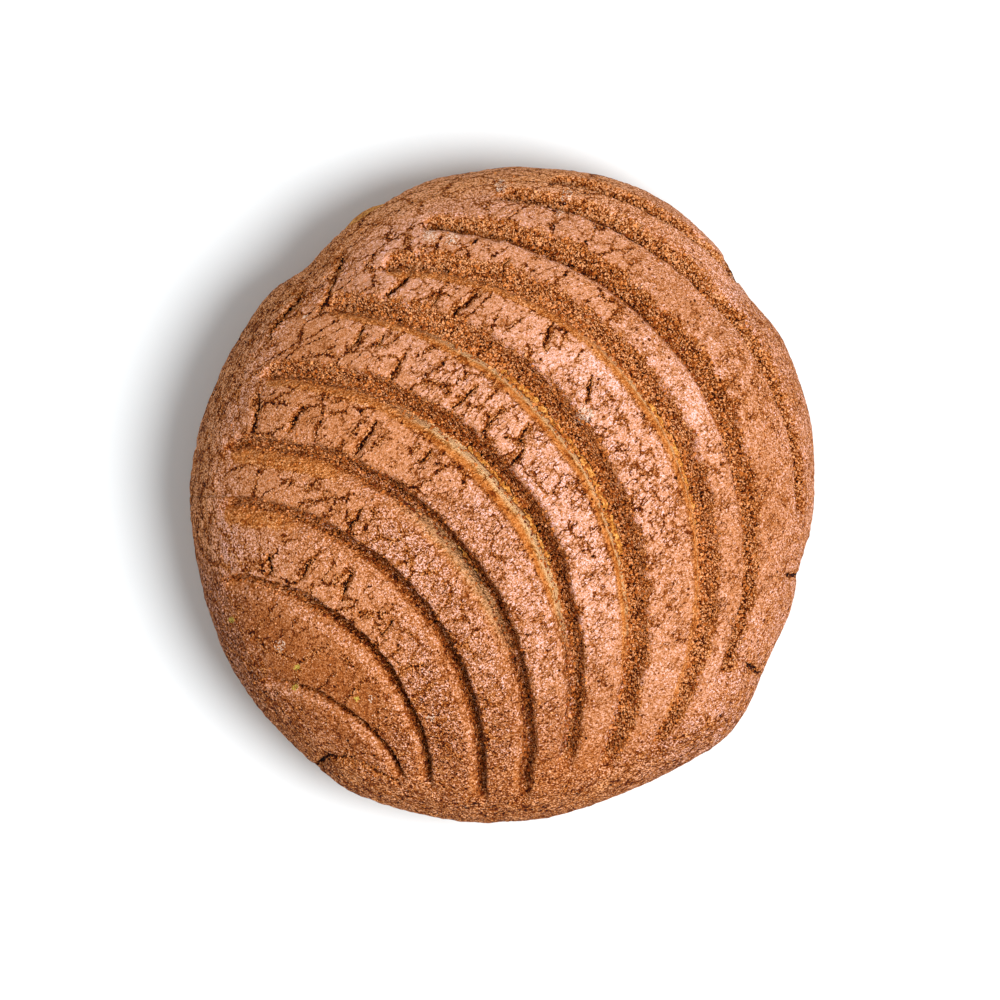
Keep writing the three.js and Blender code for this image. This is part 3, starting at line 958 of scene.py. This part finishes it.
def floor_material(colours):
    """Pale floor with the faintest unevenness."""
    floor = Finish("studio_floor")
    tone = floor.ramp(floor.noise(60.0), 0.3, 0.7)
    return floor.coat(floor.mix(tone, rgba(colours.floor), rgba(colours.floor, 1.01)), 0.95, 0.0)


class CONCHA_OT_bun(bpy.types.Operator):
    """Shapes the risen dough"""

    bl_idname = "concha.bun"
    bl_label = "Bun"

    def execute(self, context):
        form = Form(context.scene.concha_sizes)
        ball = bun_shape(form, BUN_MESH)
        spots = coords_of(ball)
        angle = np.arctan2(spots[:, 1] - CENTRE[1], spots[:, 0] - CENTRE[0])
        shown = smooth(spots[:, 2], 0.2, 2.5) * (1 - smooth(spots[:, 2], 20, 26))
        dents = -0.25 * np.abs(noise_at(spots, 9, 51)) - 0.12 * np.abs(noise_at(spots, 3, 52))
        out = np.stack([np.cos(angle), np.sin(angle), np.zeros_like(angle)], axis=1)
        move_to(ball.verts, spots + out * (dents * shown)[:, None])
        piece = piece_of(ball, "baked_bun", bread_material(context.scene.concha_colours))
        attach(piece, "root")
        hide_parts("bun")
        return {"FINISHED"}


class CONCHA_OT_paste(bpy.types.Operator):
    """Spreads the paste over the bun, cuts it like a shell and cracks it"""

    bl_idname = "concha.paste"
    bl_label = "Paste"

    def execute(self, context):
        sizes = context.scene.concha_sizes
        form = Form(sizes)
        sheet = bmesh.new()
        bmesh.ops.create_grid(sheet, x_segments=sizes.facets, y_segments=sizes.facets, size=1)
        angle, share = disc_of(coords_of(sheet))
        polar = share * form.edge(angle)
        plan = form.crust(angle, polar)
        facing = form.facing(angle, polar)
        relief, fields = paste_relief(form, sizes, plan, angle, polar, facing)
        places = plan + facing * relief[:, None]
        move_to(sheet.verts, places)
        close_paste(form, sheet)
        piece = piece_of(sheet, "chocolate_paste", paste_material(context.scene.concha_colours))
        carve(piece, form)
        tree = kdtree.KDTree(len(places))
        for index, place in enumerate((places * MM).tolist()):
            tree.insert(place, index)
        tree.balance()
        near = np.array([tree.find(vert.co)[1] for vert in piece.data.vertices])
        for name, values in fields.items():
            set_attribute(piece, name, values[near], "FLOAT_VECTOR" if values.ndim == 2 else "FLOAT")
        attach(piece, "root")
        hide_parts("topping")
        return {"FINISHED"}


class CONCHA_OT_crumbs(bpy.types.Operator):
    """Scatters loose crumbs in the grooves and along the cracks"""

    bl_idname = "concha.crumbs"
    bl_label = "Crumbs"

    def execute(self, context):
        sizes = context.scene.concha_sizes
        draw = np.random.default_rng(CRUMB_SEED)
        middles, radius, crevice_shade = scattered(Form(sizes), sizes, draw)
        single = bmesh.new()
        bmesh.ops.create_icosphere(single, subdivisions=1, radius=1)
        corners = coords_of(single)
        faces = np.array([[vert.index for vert in face.verts] for face in single.faces])
        single.free()
        count = len(middles)
        shapes = corners * draw.uniform(0.6, 1.35, (count, len(corners), 1))
        shapes = shapes * draw.uniform(0.7, 1.3, (count, 1, 3))
        shapes = np.einsum("nij,nkj->nki", turned_ways(draw, count), shapes) * radius[:, None, None]
        places = (shapes + middles[:, None, :]).reshape(-1, 3) * MM
        joined = (faces + len(corners) * np.arange(count)[:, None, None]).reshape(-1, 3)
        data = bpy.data.meshes.new("loose_crumbs")
        data.from_pydata(places.tolist(), [], joined.tolist())
        data.materials.append(crumb_material(context.scene.concha_colours))
        piece = bpy.data.objects.new("loose_crumbs", data)
        context.scene.collection.objects.link(piece)
        # Each crumb's tone varies at random, with painted shade darkening those in the crevices
        tone = np.clip(draw.normal(CRUMB_TONE, 0.12, count) - 0.25 * crevice_shade, 0.2, 0.95)
        set_attribute(piece, "tone", np.repeat(tone, len(corners)))
        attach(piece, "root")
        return {"FINISHED"}


class CONCHA_OT_stage(bpy.types.Operator):
    """Sets the floor, the lights and the camera"""

    bl_idname = "concha.stage"
    bl_label = "Stage"

    def execute(self, context):
        scene = context.scene
        slab = bmesh.new()
        bmesh.ops.create_grid(slab, x_segments=8, y_segments=8, size=FLOOR_HALF)
        floor = piece_of(slab, "studio_floor", floor_material(scene.concha_colours))

        world = bpy.data.worlds.new("studio")
        world.use_nodes = True
        sky = world.node_tree.nodes["Background"]
        sky.inputs["Color"].default_value = (1, 1, 1, 1)
        sky.inputs["Strength"].default_value = SKY
        scene.world = world

        lamp = bpy.data.lights.new("key", "AREA")
        lamp.shape = "DISK"
        lamp.size = KEY_LIGHT["size"]
        lamp.energy = KEY_LIGHT["energy"]
        key = bpy.data.objects.new("key", lamp)
        scene.collection.objects.link(key)
        rise, turn = math.radians(KEY_LIGHT["rise"]), math.radians(KEY_LIGHT["turn"])
        towards = Vector((math.cos(rise) * math.cos(turn), math.cos(rise) * math.sin(turn), math.sin(rise)))
        key.location = towards * KEY_LIGHT["away"]
        key.rotation_euler = towards.to_track_quat("Z", "Y").to_euler()

        lens = bpy.data.cameras.new("overhead")
        lens.sensor_width = SENSOR
        camera = bpy.data.objects.new("overhead", lens)
        scene.collection.objects.link(camera)
        camera.location = (CAMERA_AT[0] * MM, CAMERA_AT[1] * MM, CAMERA_HEIGHT)
        lens.lens = SENSOR * (CAMERA_HEIGHT - FRAMED_HEIGHT) / FRAMED_WIDTH
        lens.clip_end = 20
        scene.camera = camera
        scene.view_settings.view_transform = "Standard"
        return {"FINISHED"}


class CONCHA_PT_sidebar(bpy.types.Panel):
    """The concha's steps, sizes and colours"""

    bl_label = "Concha"
    bl_idname = "CONCHA_PT_sidebar"
    bl_space_type = "VIEW_3D"
    bl_region_type = "UI"
    bl_category = "Concha"

    def draw(self, context):
        for step in STEPS:
            self.layout.operator(step.bl_idname)
        for group in (context.scene.concha_sizes, context.scene.concha_colours):
            for name in group.__annotations__:
                self.layout.prop(group, name)


STEPS = (CONCHA_OT_bun, CONCHA_OT_paste, CONCHA_OT_crumbs, CONCHA_OT_stage)
CLASSES = (ConchaSizes, ConchaColours, *STEPS, CONCHA_PT_sidebar)


def register():
    for made in CLASSES:
        bpy.utils.register_class(made)
    bpy.types.Scene.concha_sizes = PointerProperty(type=ConchaSizes)
    bpy.types.Scene.concha_colours = PointerProperty(type=ConchaColours)


def unregister():
    del bpy.types.Scene.concha_colours
    del bpy.types.Scene.concha_sizes
    for made in reversed(CLASSES):
        bpy.utils.unregister_class(made)


def main():
    register()
    bpy.ops.concha.bun()
    bpy.ops.concha.paste()
    bpy.ops.concha.crumbs()
    bpy.ops.concha.stage()


if __name__ == "__main__":
    main()
